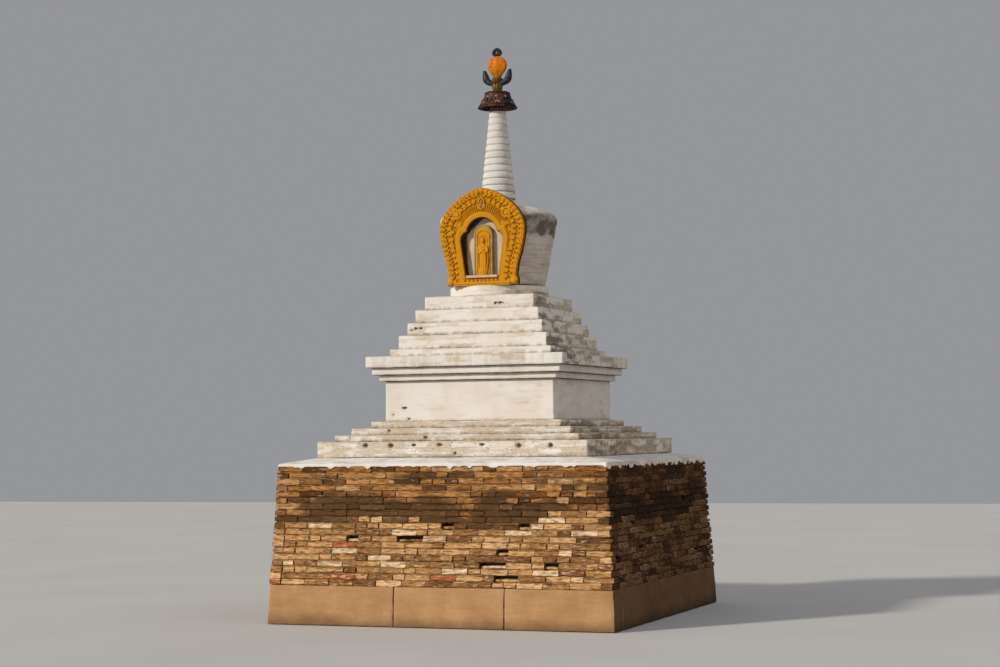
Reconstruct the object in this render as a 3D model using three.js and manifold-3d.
// A lime-washed brick stupa on a square battered brick platform, in millimetres, +Z up.
// The origin is at the middle of the footprint, on the ground. The gilded niche faces -Y.

import * as THREE from 'three';
import { mergeVertices } from 'three/addons/utils/BufferGeometryUtils.js';
import Module from 'manifold-3d';

// Driving dimensions of the platform

const BRICK_COURSE = 58;
const BRICK_COURSES = 19;
const PLINTH_HEIGHT = 365;
const PLINTH_THICKNESS = 260;
const PLATFORM_TOP_HALF = 1620;
const PLATFORM_BATTER = 0.06;
const CORE_LAP = 100;
const SCREED_HEIGHT = 75;
const SCREED_INSET = 10;
const SCREED_MARGIN = 14;

// Square levels from the platform up: name, half width, height

const LOWER_STEPS = [
  { name: 'lower_step_1', half: 1348, height: 150 },
  { name: 'lower_step_2', half: 1225, height: 59 },
  { name: 'lower_step_3', half: 1106, height: 65 },
  { name: 'lower_step_4', half: 964, height: 63 },
];
const PEDESTAL = [
  { name: 'pedestal_die', half: 856, height: 388 },
  { name: 'cornice_fillet_lower', half: 902, height: 59 },
  { name: 'cornice_fillet_upper', half: 955, height: 68 },
  { name: 'cornice_slab', half: 1000, height: 108 },
];
const UPPER_STEPS = [
  { name: 'upper_step_1', half: 823, height: 71 },
  { name: 'upper_step_2', half: 758, height: 133 },
  { name: 'upper_step_3', half: 695, height: 122 },
  { name: 'upper_step_4', half: 635, height: 126 },
  { name: 'upper_step_5', half: 564, height: 131 },
];

// Driving dimensions of the dome and the spire

const SEAT_RING_RADIUS = 483;
const SEAT_RING_HEIGHT = 104;
const DOME_FOOT_RADIUS = 450;
const DOME_WIDEST_RADIUS = 579;
const DOME_WIDEST_HEIGHT = 645;
const DOME_TOP_RADIUS = 185;
const DOME_HEIGHT = 805;
const DOME_SIDE_BENDS = [500, 200, 525, 420];
const DOME_SHOULDER_BENDS = [592, 725, 430, 788];
const NECK_RADIUS = 158;
const NECK_HEIGHT = 68;
const RING_COUNT = 13;
const RING_PITCH = 67.5;
const RING_FIRST_RADIUS = 174;
const RING_LAST_RADIUS = 86;
const RING_GROOVE = 7;
const RING_BELLY = 0.22;
const RING_SHOULDER = 0.72;
const RING_SHOULDER_SHRINK = 0.4;

// Driving dimensions of the niche, measured up from the top of the seat ring

const FRAME_FRONT = 490;
const FRAME_THICKNESS = 95;
const FRAME_FOOT_HALF = 366;
const FRAME_FOOT_HEIGHT = 60;
// Right half of the outline, and how far each point moves in for one unit of inset
const FRAME_OUTLINE = [
  { x: 352, z: 92, inX: 1, inZ: 0 },
  { x: 372, z: 220, inX: 1, inZ: 0 },
  { x: 408, z: 335, inX: 1, inZ: 0 },
  { x: 443, z: 530, inX: 1, inZ: 0 },
  { x: 416, z: 655, inX: 1, inZ: 0 },
  { x: 330, z: 775, inX: 1, inZ: 0 },
  { x: 175, z: 890, inX: 0.5, inZ: 1 },
  { x: 0, z: 946, inX: 0, inZ: 1 },
];
const RECESS_DEPTH = 25;
const RECESS_CLEARANCE = 6;
const OPENING_FOOT = 72;
const OPENING_FOOT_HALF = 168;
const JAMB_HEAD = 435;
const JAMB_HEAD_HALF = 222;
const SHOULDER_BEND = 500;
const CUSP_HALF = 158;
const CUSP_HEIGHT = 525;
const ARCH_CENTRE = 498;
const ARCH_RADIUS = 160;
const ARCH_START_ANGLE = 0.17;
const SILL_HEIGHT = 24;
const SILL_HALF = 162;
const BACKING_INSET = 34;
const BACKING_FOOT_HALF = 318;
const BACKING_TOP = 700;
const BACKING_DEPTH = 260;
const PLAQUE_HALF = 98;
const PLAQUE_SPRING = 400;
const PLAQUE_THICKNESS = 60;
const FIGURE_HEIGHT = 395;
const FIGURE_DEPTH = 38;
const FIGURE_BASE_RADIUS = 62;
const FIGURE_BASE_HEIGHT = 34;
// Radius and height of the figure's outline, each curve's bend before its end
const FIGURE_HEM = [44, 52, 52, 90];
const FIGURE_WAIST = [40, 210];
const FIGURE_SHOULDER = [58, 262, 44, 290];
const FIGURE_NECK = [16, 300, 15, 312];
const FIGURE_HEAD = { height: 336, half: 25, tall: 30, start: -0.9, stop: 1.2 };
const FIGURE_CROWN_BEND = [9, 372];
const GAP = 0.3;

// Driving dimensions of the finial

const COLLAR_RADIUS = 80;
const COLLAR_BELOW_CANOPY = 32;
const CANOPY_RIM_RADIUS = 198;
const CANOPY_CROWN_RADIUS = 126;
const CANOPY_HEIGHT = 167;
const CANOPY_WALL = 14;
const CANOPY_CROWN_DROP = 16;
const CANOPY_CROWN_INSET = 22;
const CANOPY_OUTER_BEND = { out: 12, height: 66 };
const CANOPY_INNER_BEND = { out: 8, height: 60 };
const CANOPY_INNER_INSET = 6;
const STEM_RADIUS = 56;
const STEM_WAIST = 34;
const STEM_HEIGHT = 58;
const STEM_FOOT_BEND = 18;
const STEM_WAIST_FOOT = 24;
const STEM_WAIST_HEAD = 40;
const STEM_LIP = 8;
const CRESCENT_THICKNESS = 64;
const CRESCENT_SPAN_HALF = 154;
const CRESCENT_HEIGHT = 186;
const CRESCENT_SEAT = 46;
const CRESCENT_BELLY = 92;
const CRESCENT_FOOT_BEND = 6;
const CRESCENT_OUTER_BEND = { out: 2, height: 150 };
const CRESCENT_TIP_SHARE = 0.9;
const CRESCENT_INNER_BEND = { share: 0.66, height: 138 };
const CRESCENT_INNER_SHARE = 0.56;
const CRESCENT_SEAT_BEND = { share: 0.42, rise: 8 };
const SEAT_HALF = 22;
const SUN_SEAT_HALF = 18;
const SUN_HEIGHT = 256;
const SUN_NECK_BEND = { x: 34, z: 44 };
const SUN_SIDE = { x: 78, z: 96 };
const SUN_BELLY_BEND = { x: 128, z: 158 };
const SUN_SHOULDER_BEND = { x: 96, z: 232 };
const SUN_THICKNESS = 58;
const SUN_TOP_HALF = 16;
const FLAME_HEIGHT = 84;
const FLAME_HALF = 46;
const FLAME_THICKNESS = 44;
const FLAME_FOOT_BEND = { out: 16, height: 8 };
const FLAME_SHOULDER = 66;

const ROUND_SEGMENTS = 48;
const RING_SEGMENTS = 32;
const FINIAL_SEGMENTS = 28;
const FIGURE_SEGMENTS = 20;

// Points along each curve of an outline

const OUTLINE_DETAIL = {
  plain: 10, frame: 8, frameEdge: 44, recess: 8, dome: 10, figure: 5,
  canopy: 5, stem: 4, crescent: 6, sun: 8, flame: 6,
};

// Finishes

const finish = (color, roughness, metalness = 0) =>
  new THREE.MeshStandardMaterial({ color, roughness, metalness });

const FINISHES = {
  sandstone: () => finish(0xb39468, 0.9),
  brick: () => finish(0x9a6f4c, 0.92),
  limewash: () => finish(0xe4dacb, 0.88),
  ochre: () => finish(0xc98a1c, 0.6),
  darkMetal: () => finish(0x2b2730, 0.5, 0.6),
  olive: () => finish(0x7b6a2c, 0.6, 0.3),
  orange: () => finish(0xd0741c, 0.55),
};

const wasm = await Module();
wasm.setup();

// Solids for joins and cuts

function toSolid(geometry) {
  const plain = geometry.clone();
  plain.deleteAttribute('normal');
  plain.deleteAttribute('uv');
  const merged = mergeVertices(plain, 1e-3);
  return new wasm.Manifold(new wasm.Mesh({
    numProp: 3,
    vertProperties: new Float32Array(merged.attributes.position.array),
    triVerts: new Uint32Array(merged.index.array),
  }));
}

function toGeometry(solid) {
  const mesh = solid.getMesh();
  const geometry = new THREE.BufferGeometry();
  geometry.setAttribute('position', new THREE.BufferAttribute(mesh.vertProperties, 3));
  geometry.setIndex(new THREE.BufferAttribute(mesh.triVerts, 1));
  geometry.computeVertexNormals();
  return geometry;
}

function box(x0, x1, y0, y1, z0, z1) {
  const geometry = new THREE.BoxGeometry(x1 - x0, y1 - y0, z1 - z0);
  return geometry.translate((x0 + x1) / 2, (y0 + y1) / 2, (z0 + z1) / 2);
}

// A six-sided block whose bottom and top rectangles differ, from z = 0 up

function taperedBlock(bottom, top, height) {
  const geometry = new THREE.BoxGeometry(2, 2, 2);
  const position = geometry.attributes.position;
  for (let i = 0; i < position.count; i += 1) {
    const face = position.getZ(i) > 0 ? top : bottom;
    const x = position.getX(i) > 0 ? face.x1 : face.x0;
    const y = position.getY(i) > 0 ? face.y1 : face.y0;
    position.setXYZ(i, x, y, position.getZ(i) > 0 ? height : 0);
  }
  geometry.computeVertexNormals();
  return geometry;
}

const square = (half) => ({ x0: -half, x1: half, y0: -half, y1: half });

// Turned pieces: the profile's x is the radius and its y the height

function turned(profile, segments) {
  return new THREE.LatheGeometry(profile, segments).rotateX(Math.PI / 2);
}

// An outline in the X-Z plane, extruded from the front plane y = -front back towards the axis

function upright(shape, front, depth, curveSegments = OUTLINE_DETAIL.plain) {
  const settings = { depth, steps: 1, curveSegments, bevelEnabled: false };
  const geometry = new THREE.ExtrudeGeometry(shape, settings).rotateX(Math.PI / 2);
  return geometry.translate(0, depth - front, 0);
}

function mirroredSpline(rightPoints) {
  const leftPoints = rightPoints.slice(0, -1).reverse().map((p) => new THREE.Vector2(-p.x, p.y));
  return new THREE.SplineCurve([...rightPoints, ...leftPoints]);
}

const model = new THREE.Group();

function addPiece(parent, name, geometry, material, x = 0, y = 0, z = 0) {
  const mesh = new THREE.Mesh(geometry, material);
  mesh.name = name;
  mesh.position.set(x, y, z);
  parent.add(mesh);
  return mesh;
}

// Platform: a sandstone plinth round the core, battered brick above it, and a sloped lime screed

const brickHeight = BRICK_COURSE * BRICK_COURSES;
const brickFootHalf = PLATFORM_TOP_HALF + PLATFORM_BATTER * brickHeight;
const groundHalf = brickFootHalf + PLATFORM_BATTER * PLINTH_HEIGHT;
const coreHalf = brickFootHalf - PLINTH_THICKNESS;

function addPlinth() {
  const sides = {
    plinth_front: {
      bottom: { x0: -groundHalf, x1: groundHalf, y0: -groundHalf, y1: -coreHalf },
      top: { x0: -brickFootHalf, x1: brickFootHalf, y0: -brickFootHalf, y1: -coreHalf },
    },
    plinth_back: {
      bottom: { x0: -groundHalf, x1: groundHalf, y0: coreHalf, y1: groundHalf },
      top: { x0: -brickFootHalf, x1: brickFootHalf, y0: coreHalf, y1: brickFootHalf },
    },
    plinth_left: {
      bottom: { x0: -groundHalf, x1: -coreHalf, y0: -coreHalf, y1: coreHalf },
      top: { x0: -brickFootHalf, x1: -coreHalf, y0: -coreHalf, y1: coreHalf },
    },
    plinth_right: {
      bottom: { x0: coreHalf, x1: groundHalf, y0: -coreHalf, y1: coreHalf },
      top: { x0: coreHalf, x1: brickFootHalf, y0: -coreHalf, y1: coreHalf },
    },
  };
  for (const [name, side] of Object.entries(sides)) {
    addPiece(model, name, taperedBlock(side.bottom, side.top, PLINTH_HEIGHT), FINISHES.sandstone());
  }
}

function addBrickPlatform() {
  const masonry = taperedBlock(square(brickFootHalf), square(PLATFORM_TOP_HALF), brickHeight);
  masonry.translate(0, 0, PLINTH_HEIGHT);
  const core = box(-coreHalf, coreHalf, -coreHalf, coreHalf, 0, PLINTH_HEIGHT + CORE_LAP);
  const solid = toSolid(masonry).add(toSolid(core));
  addPiece(model, 'brick_platform', toGeometry(solid), FINISHES.brick());
}

addPlinth();
addBrickPlatform();

let level = PLINTH_HEIGHT + brickHeight;
const screed = taperedBlock(
  square(PLATFORM_TOP_HALF - SCREED_INSET),
  square(LOWER_STEPS[0].half + SCREED_MARGIN),
  SCREED_HEIGHT,
);
addPiece(model, 'platform_screed', screed, FINISHES.limewash(), 0, 0, level);
level += SCREED_HEIGHT;

// Square lime-washed levels, each resting on the one below

for (const { name, half, height } of [...LOWER_STEPS, ...PEDESTAL, ...UPPER_STEPS]) {
  const slab = new THREE.BoxGeometry(2 * half, 2 * half, height);
  addPiece(model, name, slab, FINISHES.limewash(), 0, 0, level + height / 2);
  level += height;
}

// Seat ring under the dome

const seatRing = turned([
  new THREE.Vector2(0, 0),
  new THREE.Vector2(SEAT_RING_RADIUS, 0),
  new THREE.Vector2(SEAT_RING_RADIUS, SEAT_RING_HEIGHT),
  new THREE.Vector2(0, SEAT_RING_HEIGHT),
], ROUND_SEGMENTS);
addPiece(model, 'dome_seat_ring', seatRing, FINISHES.limewash(), 0, 0, level);
level += SEAT_RING_HEIGHT;

// Outer outline of the niche frame: a horseshoe halo on out-turned feet

function frameShape(inset, footHalf) {
  const right = FRAME_OUTLINE.map(
    ({ x, z, inX, inZ }) => new THREE.Vector2(x - inset * inX, z - inset * inZ),
  );
  const spline = mirroredSpline(right);
  const shape = new THREE.Shape();
  shape.moveTo(-footHalf, 0);
  shape.lineTo(footHalf, 0);
  shape.lineTo(footHalf, FRAME_FOOT_HEIGHT);
  for (const point of spline.getPoints(OUTLINE_DETAIL.frameEdge)) {
    shape.lineTo(point.x, point.y);
  }
  shape.lineTo(-footHalf, FRAME_FOOT_HEIGHT);
  shape.closePath();
  return shape;
}

// Opening of the niche: leaning jambs, a cusp on each side and a round arch

function openingPath(grow) {
  const path = new THREE.Path();
  const foot = OPENING_FOOT_HALF + grow;
  const head = JAMB_HEAD_HALF + grow;
  const bend = SHOULDER_BEND + grow;
  path.moveTo(-foot, OPENING_FOOT - grow);
  path.lineTo(foot, OPENING_FOOT - grow);
  path.lineTo(head, JAMB_HEAD);
  path.quadraticCurveTo(head, bend, CUSP_HALF + grow, CUSP_HEIGHT + grow);
  const stop = Math.PI - ARCH_START_ANGLE;
  path.absarc(0, ARCH_CENTRE, ARCH_RADIUS + grow, ARCH_START_ANGLE, stop, false);
  path.quadraticCurveTo(-head, bend, -head, JAMB_HEAD);
  path.closePath();
  return path;
}

// Dome: a turned bell, flattened where the frame is bedded on it, with a shallow recess

const domeBase = level;

function domeProfile() {
  const path = new THREE.Path();
  path.moveTo(0, 0);
  path.lineTo(DOME_FOOT_RADIUS, 0);
  path.bezierCurveTo(...DOME_SIDE_BENDS, DOME_WIDEST_RADIUS, DOME_WIDEST_HEIGHT);
  path.bezierCurveTo(...DOME_SHOULDER_BENDS, DOME_TOP_RADIUS, DOME_HEIGHT);
  path.lineTo(0, DOME_HEIGHT);
  return path.getPoints(OUTLINE_DETAIL.dome);
}

function addDome() {
  const reach = 2 * DOME_WIDEST_RADIUS;
  const backPlane = FRAME_FRONT - FRAME_THICKNESS;
  const backing = upright(frameShape(BACKING_INSET, BACKING_FOOT_HALF), backPlane, BACKING_DEPTH);
  const below = box(-reach, reach, -reach, reach, 0, BACKING_TOP);
  const front = box(-reach, reach, -reach, -backPlane, -1, DOME_HEIGHT + 1);
  const recessOutline = openingPath(RECESS_CLEARANCE).getPoints(OUTLINE_DETAIL.recess);
  const recessShape = new THREE.Shape(recessOutline);
  const recess = upright(recessShape, backPlane + 1, RECESS_DEPTH + 1);
  const solid = toSolid(turned(domeProfile(), ROUND_SEGMENTS))
    .add(toSolid(backing).intersect(toSolid(below)))
    .subtract(toSolid(front))
    .subtract(toSolid(recess));
  addPiece(model, 'dome', toGeometry(solid), FINISHES.limewash(), 0, 0, domeBase);
  level += DOME_HEIGHT;
}

addDome();

// Niche: the gilded frame, its white sill, and the plaque with its standing figure

function plaqueShape(half) {
  const shape = new THREE.Shape();
  shape.moveTo(-half, 0);
  shape.lineTo(half, 0);
  shape.lineTo(half, PLAQUE_SPRING);
  shape.absarc(0, PLAQUE_SPRING, half, 0, Math.PI, false);
  shape.closePath();
  return shape;
}

function figureProfile() {
  const path = new THREE.Path();
  path.moveTo(0, 0);
  path.lineTo(FIGURE_BASE_RADIUS, 0);
  path.lineTo(FIGURE_BASE_RADIUS, FIGURE_BASE_HEIGHT);
  path.quadraticCurveTo(...FIGURE_HEM);
  path.lineTo(...FIGURE_WAIST);
  path.quadraticCurveTo(...FIGURE_SHOULDER);
  path.quadraticCurveTo(...FIGURE_NECK);
  const { height, half, tall, start, stop } = FIGURE_HEAD;
  path.absellipse(0, height, half, tall, start, stop, false);
  path.quadraticCurveTo(...FIGURE_CROWN_BEND, 0, FIGURE_HEIGHT);
  return path.getPoints(OUTLINE_DETAIL.figure);
}

function addNiche() {
  const niche = new THREE.Group();
  niche.position.set(0, 0, domeBase);
  model.add(niche);

  const frame = frameShape(0, FRAME_FOOT_HALF);
  frame.holes.push(openingPath(0));
  const frameGeometry = upright(frame, FRAME_FRONT, FRAME_THICKNESS, OUTLINE_DETAIL.frame);
  addPiece(niche, 'niche_frame', frameGeometry, FINISHES.ochre());

  const wall = FRAME_FRONT - FRAME_THICKNESS - RECESS_DEPTH;
  const sill = box(-SILL_HALF, SILL_HALF, -FRAME_FRONT, -wall - GAP, 0, SILL_HEIGHT);
  addPiece(niche, 'niche_sill', sill, FINISHES.limewash(), 0, 0, OPENING_FOOT);

  const floor = OPENING_FOOT + SILL_HEIGHT;
  const plaqueFront = wall + PLAQUE_THICKNESS;
  const plaque = upright(plaqueShape(PLAQUE_HALF), plaqueFront, PLAQUE_THICKNESS - GAP);
  addPiece(niche, 'niche_plaque', plaque, FINISHES.limewash(), 0, 0, floor);

  const flatness = FIGURE_DEPTH / FIGURE_BASE_RADIUS;
  const body = turned(figureProfile(), FIGURE_SEGMENTS).scale(1, flatness, 1);
  const behind = box(-PLAQUE_HALF, PLAQUE_HALF, -GAP, PLAQUE_HALF, -1, FIGURE_HEIGHT + 1);
  const relief = toSolid(body).subtract(toSolid(behind));
  addPiece(niche, 'niche_figure', toGeometry(relief), FINISHES.ochre(), 0, -plaqueFront, floor);
}

addNiche();

// Neck drum and the thirteen rings of the spire

const neck = turned([
  new THREE.Vector2(0, 0),
  new THREE.Vector2(NECK_RADIUS, 0),
  new THREE.Vector2(NECK_RADIUS, NECK_HEIGHT),
  new THREE.Vector2(0, NECK_HEIGHT),
], RING_SEGMENTS);
addPiece(model, 'neck_drum', neck, FINISHES.limewash(), 0, 0, level);
level += NECK_HEIGHT;

function ringProfile(radius, shrink) {
  const path = new THREE.Path();
  path.moveTo(0, 0);
  path.lineTo(radius - RING_GROOVE, 0);
  path.lineTo(radius, RING_BELLY * RING_PITCH);
  path.lineTo(radius - RING_SHOULDER_SHRINK * shrink, RING_SHOULDER * RING_PITCH);
  path.lineTo(radius - RING_GROOVE - shrink, RING_PITCH);
  path.lineTo(0, RING_PITCH);
  return path.getPoints(1);
}

const spire = new THREE.Group();
spire.position.set(0, 0, level);
model.add(spire);
const ringShrink = (RING_FIRST_RADIUS - RING_LAST_RADIUS) / (RING_COUNT - 1);
for (let i = 0; i < RING_COUNT; i += 1) {
  const radius = RING_FIRST_RADIUS - ringShrink * i;
  const ring = turned(ringProfile(radius, ringShrink), RING_SEGMENTS);
  const name = `spire_ring_${String(i + 1).padStart(2, '0')}`;
  addPiece(spire, name, ring, FINISHES.limewash(), 0, 0, i * RING_PITCH);
}
level += RING_COUNT * RING_PITCH;

// Finial: collar, pierced canopy, stem, crescent, sun and flame tip

function canopyProfile() {
  const under = CANOPY_HEIGHT - CANOPY_WALL;
  const crown = CANOPY_CROWN_RADIUS;
  const inside = crown - CANOPY_WALL;
  const { out: innerOut, height: innerHeight } = CANOPY_INNER_BEND;
  const { out: outerOut, height: outerHeight } = CANOPY_OUTER_BEND;
  const path = new THREE.Path();
  path.moveTo(0, under);
  path.lineTo(inside - CANOPY_INNER_INSET, under);
  path.quadraticCurveTo(inside + innerOut, innerHeight, CANOPY_RIM_RADIUS - CANOPY_WALL, 0);
  path.lineTo(CANOPY_RIM_RADIUS, 0);
  path.quadraticCurveTo(crown + outerOut, outerHeight, crown, CANOPY_HEIGHT - CANOPY_CROWN_DROP);
  path.lineTo(crown - CANOPY_CROWN_INSET, CANOPY_HEIGHT);
  path.lineTo(0, CANOPY_HEIGHT);
  return path.getPoints(OUTLINE_DETAIL.canopy);
}

function stemProfile() {
  const path = new THREE.Path();
  path.moveTo(0, 0);
  path.lineTo(STEM_RADIUS, 0);
  path.quadraticCurveTo(STEM_RADIUS, STEM_FOOT_BEND, STEM_WAIST, STEM_WAIST_FOOT);
  path.quadraticCurveTo(
    STEM_WAIST, STEM_WAIST_HEAD, STEM_RADIUS - STEM_LIP / 2, STEM_HEIGHT - STEM_LIP,
  );
  path.lineTo(STEM_RADIUS - STEM_LIP, STEM_HEIGHT);
  path.lineTo(0, STEM_HEIGHT);
  return path.getPoints(OUTLINE_DETAIL.stem);
}

function crescentShape() {
  const span = CRESCENT_SPAN_HALF;
  const tip = CRESCENT_TIP_SHARE * span;
  const belly = CRESCENT_BELLY;
  const outer = { x: span + CRESCENT_OUTER_BEND.out, z: CRESCENT_OUTER_BEND.height };
  const inner = { x: CRESCENT_INNER_BEND.share * span, z: CRESCENT_INNER_BEND.height };
  const innerBelly = CRESCENT_INNER_SHARE * span;
  const seat = { x: CRESCENT_SEAT_BEND.share * span, z: CRESCENT_SEAT + CRESCENT_SEAT_BEND.rise };
  const shape = new THREE.Shape();
  shape.moveTo(-SEAT_HALF, 0);
  shape.lineTo(SEAT_HALF, 0);
  shape.quadraticCurveTo(span, CRESCENT_FOOT_BEND, span, belly);
  shape.quadraticCurveTo(outer.x, outer.z, tip, CRESCENT_HEIGHT);
  shape.quadraticCurveTo(inner.x, inner.z, innerBelly, belly);
  shape.quadraticCurveTo(seat.x, seat.z, SEAT_HALF, CRESCENT_SEAT);
  shape.lineTo(-SEAT_HALF, CRESCENT_SEAT);
  shape.quadraticCurveTo(-seat.x, seat.z, -innerBelly, belly);
  shape.quadraticCurveTo(-inner.x, inner.z, -tip, CRESCENT_HEIGHT);
  shape.quadraticCurveTo(-outer.x, outer.z, -span, belly);
  shape.quadraticCurveTo(-span, CRESCENT_FOOT_BEND, -SEAT_HALF, 0);
  return shape;
}

function sunShape() {
  const [neck, side] = [SUN_NECK_BEND, SUN_SIDE];
  const [belly, shoulder] = [SUN_BELLY_BEND, SUN_SHOULDER_BEND];
  const shape = new THREE.Shape();
  shape.moveTo(-SUN_SEAT_HALF, 0);
  shape.lineTo(SUN_SEAT_HALF, 0);
  shape.quadraticCurveTo(neck.x, neck.z, side.x, side.z);
  shape.bezierCurveTo(belly.x, belly.z, shoulder.x, shoulder.z, SUN_TOP_HALF, SUN_HEIGHT);
  shape.lineTo(-SUN_TOP_HALF, SUN_HEIGHT);
  shape.bezierCurveTo(-shoulder.x, shoulder.z, -belly.x, belly.z, -side.x, side.z);
  shape.quadraticCurveTo(-neck.x, neck.z, -SUN_SEAT_HALF, 0);
  return shape;
}

function flameShape() {
  const { out, height } = FLAME_FOOT_BEND;
  const foot = FLAME_HALF + out;
  const shape = new THREE.Shape();
  shape.moveTo(-SUN_TOP_HALF, 0);
  shape.lineTo(SUN_TOP_HALF, 0);
  shape.bezierCurveTo(foot, height, FLAME_HALF, FLAME_SHOULDER, 0, FLAME_HEIGHT);
  shape.bezierCurveTo(-FLAME_HALF, FLAME_SHOULDER, -foot, height, -SUN_TOP_HALF, 0);
  return shape;
}

// An outline extruded evenly to both sides of the axis

function standing(shape, thickness, curveSegments) {
  return upright(shape, thickness / 2, thickness, curveSegments);
}

function addFinial() {
  const finial = new THREE.Group();
  finial.position.set(0, 0, level);
  model.add(finial);

  const canopyFoot = COLLAR_BELOW_CANOPY;
  const collarHeight = canopyFoot + CANOPY_HEIGHT - CANOPY_WALL;
  const collar = turned([
    new THREE.Vector2(0, 0),
    new THREE.Vector2(COLLAR_RADIUS, 0),
    new THREE.Vector2(COLLAR_RADIUS, collarHeight),
    new THREE.Vector2(0, collarHeight),
  ], FINIAL_SEGMENTS);
  addPiece(finial, 'canopy_collar', collar, FINISHES.darkMetal());

  const canopy = turned(canopyProfile(), FINIAL_SEGMENTS);
  addPiece(finial, 'canopy_skirt', canopy, FINISHES.darkMetal(), 0, 0, canopyFoot);

  const stemFoot = canopyFoot + CANOPY_HEIGHT;
  const stem = turned(stemProfile(), FINIAL_SEGMENTS);
  addPiece(finial, 'lotus_stem', stem, FINISHES.olive(), 0, 0, stemFoot);

  const crescentFoot = stemFoot + STEM_HEIGHT;
  const crescent = standing(crescentShape(), CRESCENT_THICKNESS, OUTLINE_DETAIL.crescent);
  addPiece(finial, 'crescent_moon', crescent, FINISHES.darkMetal(), 0, 0, crescentFoot);

  const sunFoot = crescentFoot + CRESCENT_SEAT;
  const sun = standing(sunShape(), SUN_THICKNESS, OUTLINE_DETAIL.sun);
  addPiece(finial, 'sun_jewel', sun, FINISHES.orange(), 0, 0, sunFoot);

  const flame = standing(flameShape(), FLAME_THICKNESS, OUTLINE_DETAIL.flame);
  addPiece(finial, 'flame_tip', flame, FINISHES.darkMetal(), 0, 0, sunFoot + SUN_HEIGHT);
}

addFinial();

export default model;
